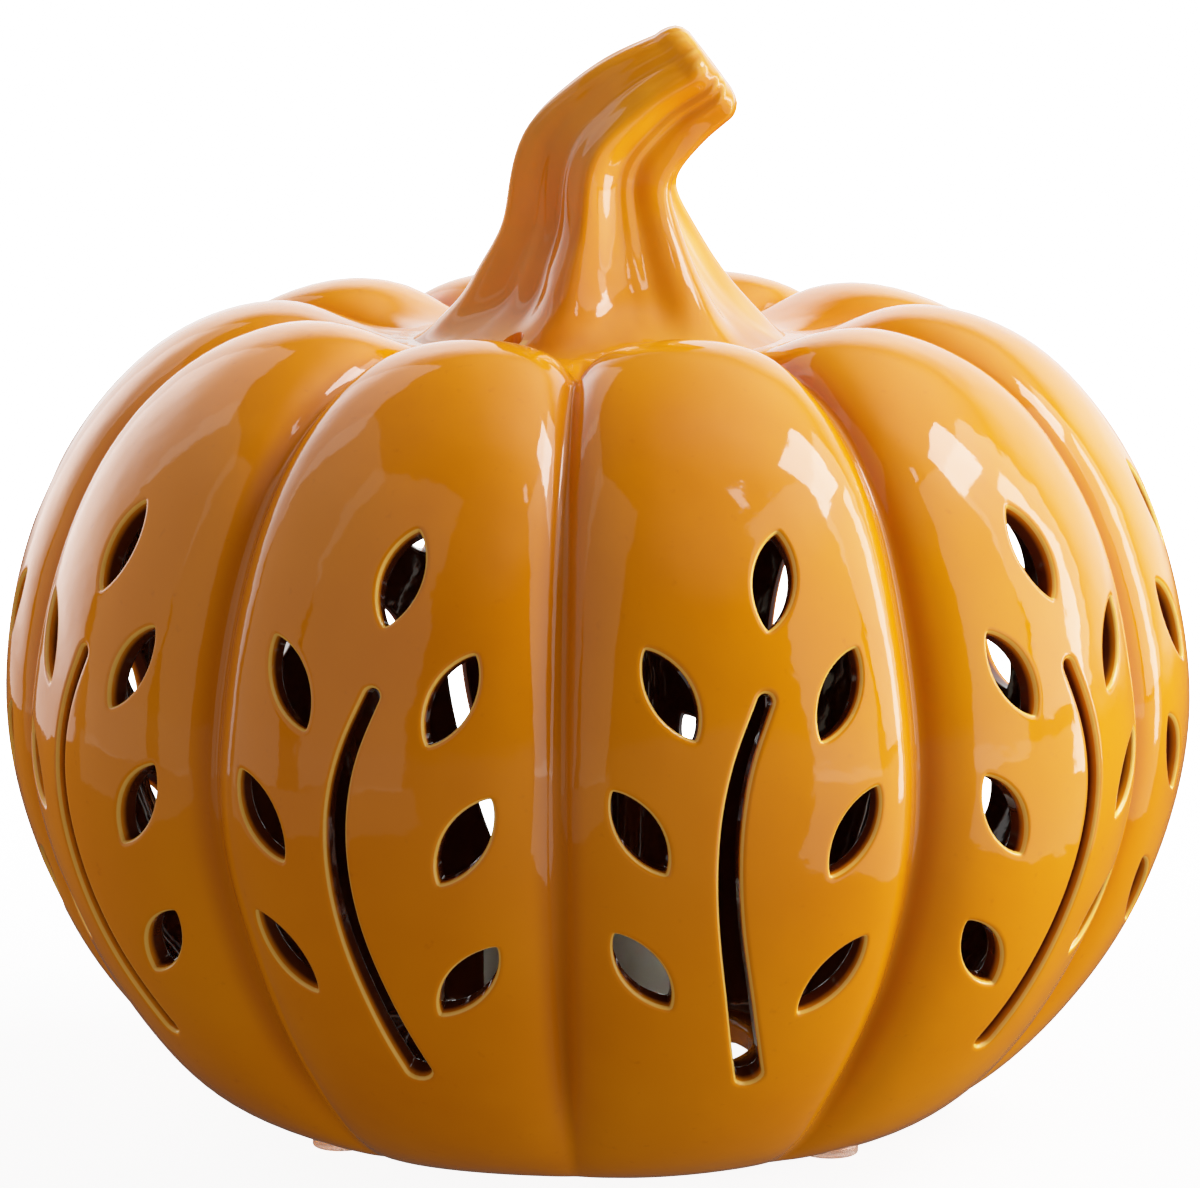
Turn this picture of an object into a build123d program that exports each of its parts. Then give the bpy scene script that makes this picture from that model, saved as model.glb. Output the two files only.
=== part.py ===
"""Pierced ceramic pumpkin lantern over a battery votive light. Millimetres, +Z up.

The origin is on the table, under the middle of the lantern. A groove between two lobes faces -Y.
The lantern is a lobed, glazed shell with a stem, open at the base, and it lifts off the votive.
"""
from build123d import *
import math
import os

# ---- pumpkin: driving dimensions ----
BODY_R = 105.0                   # widest radius, over the crowns of the lobes
LOBES = 10
SECTOR = 360.0 / LOBES
HALF_SECTOR = SECTOR / 2
WALL = 4.2
CROWN_R = 0.53 * BODY_R          # radius of the highest ring of the lobes
CROWN_Z = 1.38 * BODY_R
EQUATOR_Z = 0.697 * BODY_R
REST_R = 0.493 * BODY_R          # radius of the lowest ring of the lobes
REST_Z = 0.8
LOWER_POWER = 1.72               # superellipse power of the lower half; the upper half is an ellipse
CURVE_STEPS = 8                  # spans of the lower and of the upper quarter curve
RING_STEPS = 4                   # spans from there to the underside and to the seat
GROOVE = 6.6                     # depth of the grooves between lobes
BASE_HOLE_R = 28.0
BASE_FLAT_R = 33.0
BASE_Z = 8.0                     # height of the recessed underside
TOP_HOLE_R = 9.0
STEM_SEAT_R = 33.5
STEM_SEAT_Z = 139.0
GROOVE_FADE_TOP = 18.0           # radius over which the grooves rise to the stem's seat
GROOVE_FADE_BASE = (50.0, 92.0)  # radii between which they rise to the underside

# ---- cut-outs of one lobe ----
# leaves: share of the half lobe to the right, height as a share of BODY_R, lean in degrees
LEAF_LENGTH = 16.6
LEAF_WIDTH = 7.0
LEAVES = [
    (0.140, 1.055, 13.0),
    (-0.436, 0.890, -28.0), (0.460, 0.876, 26.0),
    (-0.588, 0.675, -31.0), (0.535, 0.658, 31.0),
    (-0.560, 0.443, -35.0), (0.500, 0.421, 38.0),
]
SLIT_WIDTH = 3.6
SLIT = [(0.050, 0.876), (-0.135, 0.590), (0.118, 0.252)]     # top, middle and foot of the curved slit
MIRRORED_LOBES = (3, 4, 5, 6, 7)                             # the other mould half has the pattern mirrored

# ---- stem ----
STEM_TURN = 3.5                  # the stem leans towards +X, turned this far towards +Y
STEM_FLUTES = 6
STEM_POINTS = 48
# centre x, centre z, tilt towards +X in degrees, ridge radius, flute depth as a share of it, twist in degrees
STEM_SECTIONS = [
    (0.8, STEM_SEAT_Z, 0, 32.4, 0.03, 11),
    (0.9, 142.0, 0, 29.0, 0.06, 13),
    (0.9, 145.4, 0, 26.0, 0.08, 15),
    (0.5, 152.2, 0, 20.8, 0.10, 18),
    (0.3, 159.2, 0, 16.9, 0.11, 22),
    (-0.2, 165.6, 4, 15.0, 0.11, 26),
    (1.4, 171.5, 16, 14.5, 0.10, 26),
    (5.7, 176.4, 25, 13.4, 0.10, 26),
    (11.3, 180.8, 35, 11.7, 0.10, 26),
    (17.0, 185.8, 46, 10.2, 0.09, 26),
    (19.7, 187.3, 50, 8.4, 0.06, 26),
]
STEM_CAVITY_FOOT_R = 14.0
STEM_CAVITY_TOP_R = 6.0
STEM_CAVITY_HEIGHT = 27.0
VENT_R = 2.2
VENT_X, VENT_Y = -13.0, -25.5

# ---- foot pads ----
PAD_R = 5.0
PAD_HEIGHT = 1.6
PAD_EDGE = 0.5
PAD_ANGLES = (36.0, 144.0, 216.0, 324.0)         # from +X, under the middle of a lobe
PAD_RING_R = REST_R + 1.0

# ---- votive light ----
VOTIVE_R = 20.0
VOTIVE_H = 36.0
VOTIVE_WALL = 1.6
POOL_R = 16.2
POOL_Z = 25.0
FLAME_HOLE_R = 4.2
FLAME_R = 4.0
FLAME_TOP = 37.0
FLAME_FLANGE_R = 5.6
PLATE_R = VOTIVE_R - VOTIVE_WALL - 0.2
PLATE_Z = 0.6
PLATE_T = 2.0
CELL_R = 10.0
CELL_H = 3.2
CELL_Y = -5.5
CELL_Z = 2.8
CUP_IN_R = 10.5
CUP_OUT_R = 11.3
DOOR_R = 10.9
DOOR_T = 1.8
DOOR_GAP = 0.2
LUG_W, LUG_L, LUG_Y = 5.0, 9.6, 6.0
BOSS_R = 2.2
BOARD_R = 16.0
BOARD_Z = 12.0
BOARD_T = 1.2
SCREW_AT = [(-10.5, 11.5), (13.2, -9.0)]
SCREW_R = 1.0
SCREW_HEAD_R = 1.9
POST_R = 2.1
DOOR_SCREW_Y = 8.3
SWITCH_X, SWITCH_Y = 7.8, 10.4
SWITCH_L, SWITCH_W, SWITCH_H = 6.6, 2.8, 3.4
SWITCH_TRAVEL = 1.5
KNOB_L, KNOB_W = 2.6, 2.0
LED_R = 2.5
LED_Z = 14.6


LOW = (Align.CENTER, Align.CENTER, Align.MIN)


def disc(radius, z, height, x=0.0, y=0.0):
    return Pos(x, y, z) * Cylinder(radius, height, align=LOW)


def block(length, width, height, x, y, z):
    return Pos(x, y, z) * Box(length, width, height, align=LOW)


def smooth(x):
    """0 below 0, 1 above 1, and a smooth step between."""
    x = min(1.0, max(0.0, x))
    return x * x * (3 - 2 * x)


# ---------------------------------------------------------------- the lobed surface
def crown_line():
    """Points of the middle of a lobe, (radius, height), from the recessed underside up to the stem's seat."""
    line = []
    for i in range(RING_STEPS):
        share = i / RING_STEPS
        r = BASE_FLAT_R + (REST_R - BASE_FLAT_R) * share
        line.append((r, REST_Z + (BASE_Z - REST_Z) * (1 + math.cos(math.pi * share)) / 2))
    for i in range(CURVE_STEPS + 1):
        a = math.pi / 2 * (1 - i / CURVE_STEPS)
        r = REST_R + (BODY_R - REST_R) * math.cos(a) ** (2 / LOWER_POWER)
        line.append((r, EQUATOR_Z - (EQUATOR_Z - REST_Z) * math.sin(a) ** (2 / LOWER_POWER)))
    for i in range(1, CURVE_STEPS + 1):
        a = math.pi / 2 * i / CURVE_STEPS
        r = CROWN_R + (BODY_R - CROWN_R) * math.cos(a)
        line.append((r, EQUATOR_Z + (CROWN_Z - EQUATOR_Z) * math.sin(a)))
    for i in range(1, RING_STEPS + 1):
        share = i / RING_STEPS
        r = CROWN_R + (STEM_SEAT_R - CROWN_R) * share
        line.append((r, STEM_SEAT_Z + (CROWN_Z - STEM_SEAT_Z) * (1 + math.cos(math.pi * share)) / 2))
    return line


def outward(line, i):
    """The outward normal of the line at point i."""
    if i in (0, len(line) - 1):
        return (0.0, -1.0) if i == 0 else (0.0, 1.0)
    (r0, z0), (r1, z1) = line[i - 1], line[i + 1]
    length = math.hypot(r1 - r0, z1 - z0)
    return ((z1 - z0) / length, -(r1 - r0) / length)


def groove_share(r, z):
    """The share of the full groove depth here: it fades out at the stem's seat and at the underside."""
    if z > EQUATOR_Z:
        return smooth((r - STEM_SEAT_R) / GROOVE_FADE_TOP)
    low, high = GROOVE_FADE_BASE
    return smooth((r - low) / (high - low))


def lobe_line(across, depth):
    """The lobe's line at a share across the half lobe, this far under the glaze."""
    line = crown_line()
    moved = []
    for i, (r, z) in enumerate(line):
        nr, nz = outward(line, i)
        down = depth + GROOVE * groove_share(r, z) * across * across
        moved.append((r - nr * down, z - nz * down))
    return moved


def surface_point(across, height):
    """The point and outward direction, (radius, height), on the outside of the lobe."""
    line = [p for p in lobe_line(across, 0.0) if p[0] > REST_R + 2]
    for (r0, z0), (r1, z1) in zip(line, line[1:]):
        if z0 <= height <= z1:
            f = (height - z0) / (z1 - z0)
            length = math.hypot(r1 - r0, z1 - z0)
            return r0 + f * (r1 - r0), ((z1 - z0) / length, -(r1 - r0) / length)
    raise ValueError("no such height")


def turned(r, z, angle):
    """The point at this angle from -Y, towards +X."""
    a = math.radians(angle)
    return Vector(r * math.sin(a), -r * math.cos(a), z)


def lobe_curves(points, level):
    """Four smooth curves through the lobe's points, joined where the wall is level or upright."""
    up = Vector(0, 0, 1)
    rest = RING_STEPS
    equator = rest + CURVE_STEPS
    crown = equator + CURVE_STEPS
    return [
        Spline(*points[:rest + 1], tangents=(level, level)),
        Spline(*points[rest:equator + 1], tangents=(level, up)),
        Spline(*points[equator:crown + 1], tangents=(up, -level)),
        Spline(*points[crown:], tangents=(-level, -level)),
    ]


def lobe_section(across):
    """The wall's section in the upright plane at this share across the half lobe, the middle facing -Y."""
    angle = across * HALF_SECTOR
    level = turned(1, 0, angle)
    outer = [turned(r, z, angle) for r, z in lobe_line(across, 0.0)]
    inner = [turned(r, z, angle) for r, z in lobe_line(across, WALL)]
    top = [turned(TOP_HOLE_R, points[-1].Z, angle) for points in (outer, inner)]
    foot = [turned(BASE_HOLE_R, points[0].Z, angle) for points in (outer, inner)]
    edges = lobe_curves(outer, level)
    edges += [Line(outer[-1], top[0]), Line(top[0], top[1]), Line(top[1], inner[-1])]
    edges += lobe_curves(inner, level)[::-1]
    edges += [Line(inner[0], foot[1]), Line(foot[1], foot[0]), Line(foot[0], outer[0])]
    return Face(Wire(edges))


def leaf_cutter(across, height, lean):
    """A pointed leaf, cut square to the wall."""
    z = height * BODY_R
    r, (nr, nz) = surface_point(across, z)
    angle = across * HALF_SECTOR
    at = turned(r, z, angle)
    out = turned(nr, nz, angle)
    right = Vector(math.cos(math.radians(angle)), math.sin(math.radians(angle)), 0)
    plane = Plane(origin=at, x_dir=right, z_dir=out)
    a = math.radians(lean)
    tip = Vector(math.sin(a), math.cos(a)) * (LEAF_LENGTH / 2)
    side = Vector(math.cos(a), -math.sin(a)) * (LEAF_WIDTH / 2)
    edges = [ThreePointArc(tip, side, -tip), ThreePointArc(-tip, -side, tip)]
    return extrude(plane * Face(Wire(edges)), amount=2.5 * WALL, both=True)


def slit_cutter():
    """The curved slit, cut straight in along +Y."""
    points = []
    for across, height in SLIT:
        r, _ = surface_point(across, height * BODY_R)
        points.append(Vector(r * math.sin(math.radians(across * HALF_SECTOR)), height * BODY_R))
    depth = BODY_R / 3
    slot = Plane.XZ.offset(BODY_R - depth) * SlotArc(ThreePointArc(*points), SLIT_WIDTH)
    return extrude(slot, amount=2 * depth)


def pumpkin_shell():
    """Ten pierced lobes joined into one wall."""
    lobe = loft([lobe_section(u) for u in (-1.0, -0.5, 0.0, 0.5, 1.0)])
    for leaf in LEAVES:
        lobe -= leaf_cutter(*leaf)
    lobe -= slit_cutter()
    mirrored = mirror(lobe, about=Plane.YZ)
    shell = None
    for k in range(LOBES):
        # lobe 2 is the front right one, whose middle is half a sector towards +X
        turn = Rot(0, 0, (k - 2) * SECTOR + HALF_SECTOR)
        piece = turn * (mirrored if k in MIRRORED_LOBES else lobe)
        shell = piece if shell is None else shell + piece
    for x, y in pad_places():
        shell -= disc(PAD_R + 0.6, 0, PAD_HEIGHT, x, y)
    shell -= vent_drill()
    return shell


# ---------------------------------------------------------------- stem and pads
def stem_section(x, z, tilt, radius, depth, twist):
    """One fluted section of the stem, tilted towards +X."""
    along = Vector(0, 0, 1).rotate(Axis.Y, tilt)
    plane = Plane(origin=(x, 0, z), x_dir=Vector(1, 0, 0).rotate(Axis.Y, tilt), z_dir=along)
    points = []
    for i in range(STEM_POINTS):
        a = 2 * math.pi * i / STEM_POINTS
        r = radius * (1 - depth + depth * math.cos(STEM_FLUTES * (a - math.radians(twist))))
        points.append((r * math.cos(a), r * math.sin(a)))
    return plane * Face(Wire([Spline(*points, periodic=True)]))


def stem():
    """Slip-cast, so it is hollow above the shell's top hole, with a vent through its foot."""
    body = Rot(0, 0, STEM_TURN) * loft([stem_section(*section) for section in STEM_SECTIONS])
    cavity = Cone(STEM_CAVITY_FOOT_R, STEM_CAVITY_TOP_R, STEM_CAVITY_HEIGHT, align=LOW)
    body -= Pos(0, 0, STEM_SEAT_Z) * cavity
    return body - vent_drill()


def vent_drill():
    return Pos(VENT_X, VENT_Y, STEM_SEAT_Z) * Cylinder(VENT_R, 4 * WALL)


def pad_places():
    turns = [math.radians(a) for a in PAD_ANGLES]
    return [(PAD_RING_R * math.cos(a), PAD_RING_R * math.sin(a)) for a in turns]


def foot_pad(x, y):
    """A rubber bumper stuck in its seat."""
    pad = disc(PAD_R, 0, PAD_HEIGHT)
    pad = fillet(pad.edges().group_by(Axis.Z)[0], PAD_EDGE)
    return Pos(x, y, 0) * pad


# ---------------------------------------------------------------- votive light
def votive_shell():
    """The frosted candle body: a tube with a sunken top, and the posts that take the base screws."""
    body = disc(VOTIVE_R, 0, VOTIVE_H)
    body = fillet(body.edges().group_by(Axis.Z)[-1], 1.2)
    body -= disc(VOTIVE_R - VOTIVE_WALL, 0, POOL_Z - VOTIVE_WALL)
    body -= disc(POOL_R, POOL_Z, VOTIVE_H)
    rounds = body.edges().filter_by(GeomType.CIRCLE)
    body = fillet(rounds.sort_by(lambda e: abs(e.center().Z - POOL_Z) + abs(e.radius - POOL_R))[0], 1.5)
    body -= disc(FLAME_HOLE_R, POOL_Z - 2 * VOTIVE_WALL, 4 * VOTIVE_WALL)
    for x, y in SCREW_AT:
        post = disc(POST_R, PLATE_Z + PLATE_T, POOL_Z - VOTIVE_WALL - PLATE_Z - PLATE_T, x, y)
        body += post - disc(SCREW_R + 0.03, PLATE_Z, 8.0, x, y)
    return body


def flame_tip():
    """A hollow translucent flame over the lamp, with a flange under the pool."""
    z0 = POOL_Z - VOTIVE_WALL - 1.0
    with BuildLine() as outline:
        Line((0, z0), (FLAME_FLANGE_R, z0))
        Line((FLAME_FLANGE_R, z0), (FLAME_FLANGE_R, z0 + 1.0))
        Line((FLAME_FLANGE_R, z0 + 1.0), (FLAME_R - 0.4, z0 + 1.0))
        Spline((FLAME_R - 0.4, z0 + 1.0), (FLAME_R - 0.1, z0 + 5.1), (2.2, z0 + 10.6), (0.5, FLAME_TOP - 0.3))
        Line((0.5, FLAME_TOP - 0.3), (0, FLAME_TOP))
        Line((0, FLAME_TOP), (0, z0))
    tip = revolve(Plane.XZ * make_face(outline.line.edges()), Axis.Z)
    return tip - disc(LED_R + 0.3, z0, 6.0) - Pos(0, 0, z0 + 6.0) * Sphere(LED_R + 0.3)


def led_lamp():
    """A 5 mm lamp with its rim and dome."""
    dome = disc(LED_R, LED_Z, 6.2) + Pos(0, 0, LED_Z + 6.2) * Sphere(LED_R)
    return dome + disc(2.9, LED_Z, 1.0)


def led_leads():
    """The lamp's two square legs, down through the board."""
    return Compound([block(0.5, 0.5, LED_Z - BOARD_Z + 1.0, x, 0, BOARD_Z - 1.0) for x in (-1.27, 1.27)])


def circuit_board():
    board = disc(BOARD_R, BOARD_Z, BOARD_T)
    for x, y in SCREW_AT:
        board -= disc(POST_R + 0.3, BOARD_Z, BOARD_T, x, y)
    for x in (-1.27, 1.27):
        board -= block(0.6, 0.6, BOARD_T, x, 0, BOARD_Z)
    return board


def chip():
    """The flicker and timer chip with its eight legs."""
    body = block(4.9, 3.9, 1.4, -5.5, -5.0, BOARD_Z + BOARD_T + 0.15)
    for side in (-1, 1):
        for i in range(4):
            body += block(0.4, 1.0, 0.4, -5.5 + 1.27 * (i - 1.5), -5.0 + side * 2.35, BOARD_Z + BOARD_T)
    return body


def resistor():
    return block(3.2, 1.6, 0.6, 5.5, -4.5, BOARD_Z + BOARD_T)


def capacitor():
    return disc(2.0, BOARD_Z + BOARD_T, 5.0, 6.0, 3.5)


def switch_case():
    """The slide switch under the board, open below for the slider."""
    case = block(SWITCH_L, SWITCH_W, SWITCH_H, SWITCH_X, SWITCH_Y, BOARD_Z - SWITCH_H)
    return case - block(2 * SWITCH_TRAVEL + 2.0, 1.4, 2.0, SWITCH_X, SWITCH_Y, BOARD_Z - SWITCH_H)


def switch_slider():
    """The moving knob, with a finger ridge just above the table."""
    stalk = block(1.6, 1.0, BOARD_Z - SWITCH_H + 1.6 - 1.0, SWITCH_X, SWITCH_Y, 1.0)
    knob = block(KNOB_L, KNOB_W, 2.8, SWITCH_X, SWITCH_Y, 0.9)
    for i in (-1, 0, 1):
        knob -= block(0.3, KNOB_W, 0.4, SWITCH_X + 0.8 * i, SWITCH_Y, 0.9)
    return stalk + knob


def base_plate():
    """The underside, with the cup for the cells and the openings for door, slider and screws."""
    plate = disc(PLATE_R, PLATE_Z, PLATE_T)
    plate += disc(CUP_OUT_R, PLATE_Z, BOARD_Z - PLATE_Z, 0, CELL_Y)
    plate += block(LUG_W + 2.6, LUG_L, PLATE_T + 2.0, 0, LUG_Y + 0.8, PLATE_Z)
    plate += disc(BOSS_R, PLATE_Z, 7.0, 0, DOOR_SCREW_Y)
    plate -= disc(CUP_IN_R, PLATE_Z, BOARD_Z, 0, CELL_Y)
    plate -= disc(DOOR_R + DOOR_GAP, PLATE_Z, DOOR_T + DOOR_GAP, 0, CELL_Y)
    plate -= block(LUG_W + 2 * DOOR_GAP, LUG_L + 2 * DOOR_GAP, DOOR_T + DOOR_GAP, 0, LUG_Y, PLATE_Z)
    plate -= disc(SCREW_R + 0.05, PLATE_Z, 8.0, 0, DOOR_SCREW_Y)
    plate -= block(2 * SWITCH_TRAVEL + KNOB_L + 0.6, KNOB_W + 0.6, PLATE_T, SWITCH_X, SWITCH_Y, PLATE_Z)
    for x, y in SCREW_AT:
        plate -= disc(SCREW_R + 0.15, PLATE_Z, PLATE_T, x, y)
        plate -= disc(SCREW_HEAD_R + 0.15, PLATE_Z, 1.0, x, y)
    return plate


def cross_screw(x, y, z, length):
    """A small cross-head screw, head down."""
    screw = disc(SCREW_HEAD_R, z, 0.9, x, y) + disc(SCREW_R, z, length, x, y)
    for l, w in ((2.2, 0.5), (0.5, 2.2)):
        screw -= block(l, w, 0.5, x, y, z)
    return screw


def battery_door():
    """A round lid with a lug for its screw, and finger ribs."""
    door = disc(DOOR_R, PLATE_Z, DOOR_T, 0, CELL_Y) + block(LUG_W, LUG_L, DOOR_T, 0, LUG_Y, PLATE_Z)
    door -= disc(SCREW_R + 0.2, PLATE_Z, DOOR_T, 0, DOOR_SCREW_Y)
    door -= disc(SCREW_HEAD_R + 0.15, PLATE_Z, 1.0, 0, DOOR_SCREW_Y)
    for i in range(-2, 3):
        door -= block(9.0, 0.6, 0.4, 0, CELL_Y + 1.6 * i, PLATE_Z)
    return door


def coin_cell(z):
    """A coin cell: the can, and the smaller cap on top."""
    can = disc(CELL_R, z, CELL_H - 0.4, 0, CELL_Y)
    can = fillet(can.edges().group_by(Axis.Z)[0], 0.4)
    return can + disc(CELL_R - 1.3, z, CELL_H, 0, CELL_Y)


def contact_spring():
    """A conical coil between the upper cell and the board."""
    bottom = CELL_Z + 2 * CELL_H
    wire_r = 0.3
    coil = Helix(pitch=0.9, height=BOARD_Z - bottom - 2 * wire_r - 0.1, radius=3.6, cone_angle=-24)
    start = coil @ 0
    section = Plane(origin=start, z_dir=coil % 0) * Circle(wire_r)
    return Pos(0, CELL_Y, bottom + wire_r + 0.05) * sweep(section, path=coil)


def contact_leaf():
    """The side contact: a curved strip on the cup's wall, with a finger at the lower cell's rim."""
    strip = disc(CUP_IN_R - 0.05, CELL_Z + 0.8, BOARD_Z - CELL_Z - 0.8, 0, CELL_Y)
    strip -= disc(CUP_IN_R - 0.25, 0, 2 * BOARD_Z, 0, CELL_Y)
    finger = disc(CUP_IN_R - 0.2, CELL_Z + 0.8, 1.6, 0, CELL_Y) - disc(CELL_R + 0.02, 0, BOARD_Z, 0, CELL_Y)
    return (strip + finger) & block(20.0, 5.0, 3 * BOARD_Z, -10.0, CELL_Y, 0)


os.makedirs("parts", exist_ok=True)
nodes = {
    "pumpkin_shell": pumpkin_shell(),
    "stem": stem(),
    "votive_shell": votive_shell(),
    "flame_tip": flame_tip(),
    "led_lamp": led_lamp(),
    "led_leads": led_leads(),
    "circuit_board": circuit_board(),
    "timer_chip": chip(),
    "resistor": resistor(),
    "capacitor": capacitor(),
    "switch_case": switch_case(),
    "switch_slider": switch_slider(),
    "base_plate": base_plate(),
    "battery_door": battery_door(),
    "door_screw": cross_screw(0, DOOR_SCREW_Y, PLATE_Z + 0.05, 6.0),
    "contact_spring": contact_spring(),
    "contact_leaf": contact_leaf(),
}
for number, (x, y) in enumerate(pad_places(), 1):
    nodes[f"foot_pad_{number}"] = foot_pad(x, y)
for number, (x, y) in enumerate(SCREW_AT, 1):
    nodes[f"base_screw_{number}"] = cross_screw(x, y, PLATE_Z + 0.05, 7.0)
for number in (1, 2):
    nodes[f"coin_cell_{number}"] = coin_cell(CELL_Z + (number - 1) * CELL_H)
for name, shape in nodes.items():
    export_step(shape, f"parts/{name}.step")
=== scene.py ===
import math

import bpy
import numpy as np
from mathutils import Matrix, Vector
from mathutils.geometry import delaunay_2d_cdt


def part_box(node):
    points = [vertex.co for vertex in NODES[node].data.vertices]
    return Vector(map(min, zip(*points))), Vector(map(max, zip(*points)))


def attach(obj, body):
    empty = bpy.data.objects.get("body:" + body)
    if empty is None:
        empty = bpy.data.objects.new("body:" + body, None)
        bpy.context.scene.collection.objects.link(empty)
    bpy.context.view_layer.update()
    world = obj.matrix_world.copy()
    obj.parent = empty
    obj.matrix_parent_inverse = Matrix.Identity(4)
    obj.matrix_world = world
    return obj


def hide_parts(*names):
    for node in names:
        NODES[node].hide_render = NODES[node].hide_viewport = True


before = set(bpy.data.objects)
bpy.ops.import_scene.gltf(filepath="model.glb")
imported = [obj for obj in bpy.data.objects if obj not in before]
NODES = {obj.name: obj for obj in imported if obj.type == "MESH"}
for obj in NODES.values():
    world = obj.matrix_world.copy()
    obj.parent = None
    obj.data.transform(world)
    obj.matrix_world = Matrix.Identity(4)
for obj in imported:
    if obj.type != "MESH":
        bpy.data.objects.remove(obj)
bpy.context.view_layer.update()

# ------------------------------------------------------------------ driving dimensions, mm
low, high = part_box("pumpkin_shell")
BODY_R = (high.x - low.x) * 500
REST_Z = low.z * 1000
CROWN_Z = high.z * 1000
SEAT_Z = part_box("stem")[0].z * 1000
EQUATOR_Z = 0.697 * BODY_R
CROWN_R = 0.53 * BODY_R
REST_R = 0.493 * BODY_R
SEAT_R = 33.5
BASE_FLAT_R = 33.0
BASE_HOLE_R = 28.0
TOP_HOLE_R = 9.0
BASE_Z = REST_Z + 7.2
WALL = 4.2
# how deep the valley between two lobes is, and the share of a lobe's half width that its rounded bottom takes
GROOVE = 6.6
SOFT_CREASE = 0.05
# the share of the groove that falls away late, near its bottom
STEEP, STEEP_POWER = 0.5, 8
LOBES = 10
HALF = math.pi / LOBES
LOWER_POWER = 1.72

LEAF_LENGTH, LEAF_WIDTH = 16.6, 7.0
LEAF_POINT = 1.62    # over 1 pinches a leaf's ends to points
# (share across the lobe, height over BODY_R, lean in degrees)
LEAVES = [(0.140, 1.055, 13), (-0.436, 0.890, -28), (0.460, 0.876, 26), (-0.588, 0.675, -31),
          (0.535, 0.658, 31), (-0.560, 0.443, -35), (0.500, 0.421, 38)]
# (share across the lobe, height over BODY_R, width of the cut)
SLIT = [(0.050, 0.876, 2.7), (-0.050, 0.80, 3.0), (-0.123, 0.70, 3.4), (-0.135, 0.605, 3.6),
        (-0.100, 0.50, 3.8), (-0.030, 0.40, 4.1), (0.050, 0.31, 4.4), (0.118, 0.252, 4.5)]
SLIT_MIDDLE = 0.58
MIRRORED_LOBES = (3, 4, 5, 6, 7)
# the front lobes are cut close to the drawing, the others more freely; some patterns sit a little to one side
FRONT_LOBES = (1, 2, 3)
FRONT_FREEDOM, BACK_FREEDOM = 0.35, 0.6
SLID = {5: -0.10, 6: -0.07, 7: -0.07, 8: -0.08}
# how far a free leaf may stray across, in height, in lean and in size, and a slit along the lobe and in width
LEAF_STRAY = (0.022, 0.007, 3, 0.04)
SLIT_STRAY = (0.8, 0.05)
# the radii of a cut-out's outer and inner edges
ROUND_OUT, ROUND_IN = 0.9, 0.6
# and of the lips of the base opening and the hole under the stem
LIP_OUT, LIP_IN = 1.2, 0.8
AMBER_DEPTH_BEFORE_SHADE = 1.3    # how far into a cut the amber colour reaches before the painted shade of the unlit inside takes over
LIP_PAINTED_SHADE = 0.4    # how much painted shade the lips get, where 1 is the unlit inside

rng = np.random.default_rng(7)


def smooth(x):
    """0 to 1 with level ends."""
    x = np.clip(x, 0.0, 1.0)
    return x * x * (3 - 2 * x)


# ------------------------------------------------------------------ curves
class Spline:
    """A cubic through points, with set end slopes."""

    def __init__(self, t, y, first, last):
        t, y = np.asarray(t, float), np.asarray(y, float)
        n = len(t)
        h = np.diff(t)
        a = np.zeros((n, n))
        b = np.zeros((n,) + y.shape[1:])
        a[0, 0] = a[-1, -1] = 1.0
        b[0], b[-1] = first, last
        for i in range(1, n - 1):
            a[i, i - 1], a[i, i], a[i, i + 1] = h[i], 2 * (h[i - 1] + h[i]), h[i - 1]
            b[i] = 3 * (h[i] * (y[i] - y[i - 1]) / h[i - 1] + h[i - 1] * (y[i + 1] - y[i]) / h[i])
        self.t, self.y, self.m = t, y, np.linalg.solve(a, b)

    def __call__(self, x):
        x = np.clip(np.asarray(x, float), self.t[0], self.t[-1])
        i = np.clip(np.searchsorted(self.t, x, side="right") - 1, 0, len(self.t) - 2)
        h = self.t[i + 1] - self.t[i]
        f = (x - self.t[i]) / h
        if self.y.ndim > 1:
            h, f = h[..., None], f[..., None]
        return ((1 + 2 * f) * (1 - f) ** 2 * self.y[i] + f * (1 - f) ** 2 * h * self.m[i]
                + f * f * (3 - 2 * f) * self.y[i + 1] + f * f * (f - 1) * h * self.m[i + 1])


def along(points):
    """The running chord length of a list of points."""
    step = np.linalg.norm(np.diff(points, axis=0), axis=1)
    return np.concatenate(([0.0], np.cumsum(step)))


UNDER_STEPS, SIDE_STEPS = 4, 8


def crown_points():
    """The middle line of a lobe, (radius, height), from the recessed underside to the stem's seat."""
    line = []
    for i in range(UNDER_STEPS):
        f = i / UNDER_STEPS
        line.append((BASE_FLAT_R + (REST_R - BASE_FLAT_R) * f,
                     REST_Z + (BASE_Z - REST_Z) * (1 + math.cos(math.pi * f)) / 2))
    for i in range(SIDE_STEPS + 1):
        a = math.pi / 2 * (1 - i / SIDE_STEPS)
        line.append((REST_R + (BODY_R - REST_R) * max(0.0, math.cos(a)) ** (2 / LOWER_POWER),
                     EQUATOR_Z - (EQUATOR_Z - REST_Z) * math.sin(a) ** (2 / LOWER_POWER)))
    for i in range(1, SIDE_STEPS + 1):
        a = math.pi / 2 * i / SIDE_STEPS
        line.append((CROWN_R + (BODY_R - CROWN_R) * math.cos(a),
                     EQUATOR_Z + (CROWN_Z - EQUATOR_Z) * math.sin(a)))
    for i in range(1, UNDER_STEPS + 1):
        f = i / UNDER_STEPS
        line.append((CROWN_R + (SEAT_R - CROWN_R) * f,
                     SEAT_Z + (CROWN_Z - SEAT_Z) * (1 + math.cos(math.pi * f)) / 2))
    return np.array(line)


points = crown_points()
chord = along(points)
crown = Spline(chord, points, (1.0, 0.0), (-1.0, 0.0))
fine_t = np.linspace(0, chord[-1], 4001)
fine = crown(fine_t)
ARC = along(fine)
LENGTH = ARC[-1]
slope = np.gradient(fine, ARC, axis=0)
slope /= np.linalg.norm(slope, axis=1)[:, None]
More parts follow.
